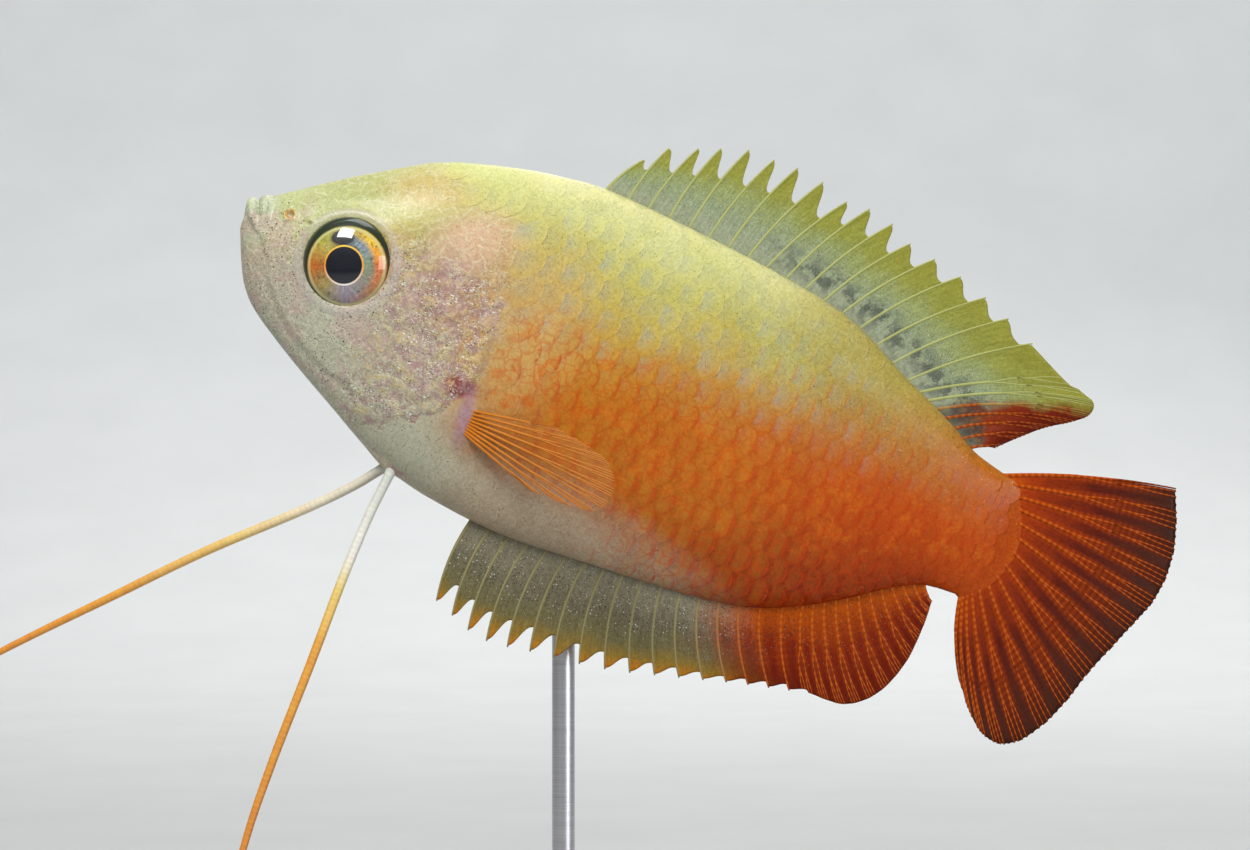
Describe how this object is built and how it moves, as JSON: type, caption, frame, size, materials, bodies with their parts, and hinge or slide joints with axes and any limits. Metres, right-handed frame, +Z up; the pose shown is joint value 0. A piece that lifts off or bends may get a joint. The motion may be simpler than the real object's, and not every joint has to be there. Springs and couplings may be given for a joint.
{
  "type": "honey gourami display model",
  "caption": "Life-size still model of a honey gourami in its golden form, swimming nose up with its thread-like pelvic fins lowered, held by one rod on a plain base.",
  "frame": {"origin": "middle of the underside of the stand's base", "axes": "+Z up, -X towards the fish's snout, -Y on the side its left flank faces"},
  "size_m": [0.0747, 0.032, 0.0551],
  "materials": {
    "skin": "wet satin",
    "eye": "wet gloss",
    "fin": "thin and slightly translucent",
    "thread": "satin",
    "stand_wood": "satin oiled",
    "stand_steel": "brushed"
  },
  "bodies": {
    "root": {"head": "skin", "gill_cover_left": "skin", "gill_cover_right": "skin", "trunk": "skin", "tail_stalk": "skin", "eye_left": "eye", "eye_right": "eye", "dorsal_fin_spiny": "fin", "dorsal_fin_soft": "fin", "anal_fin_spiny": "fin", "anal_fin_soft": "fin", "caudal_fin": "fin", "pectoral_fin_left": "fin", "pectoral_fin_right": "fin", "pelvic_thread_left_1": "thread", "pelvic_thread_left_2": "thread", "pelvic_thread_left_3": "thread", "pelvic_thread_right_1": "thread", "pelvic_thread_right_2": "thread", "pelvic_thread_right_3": "thread", "stand_base": "stand_wood", "stand_rod": "stand_steel"}
  },
  "joints": []
}
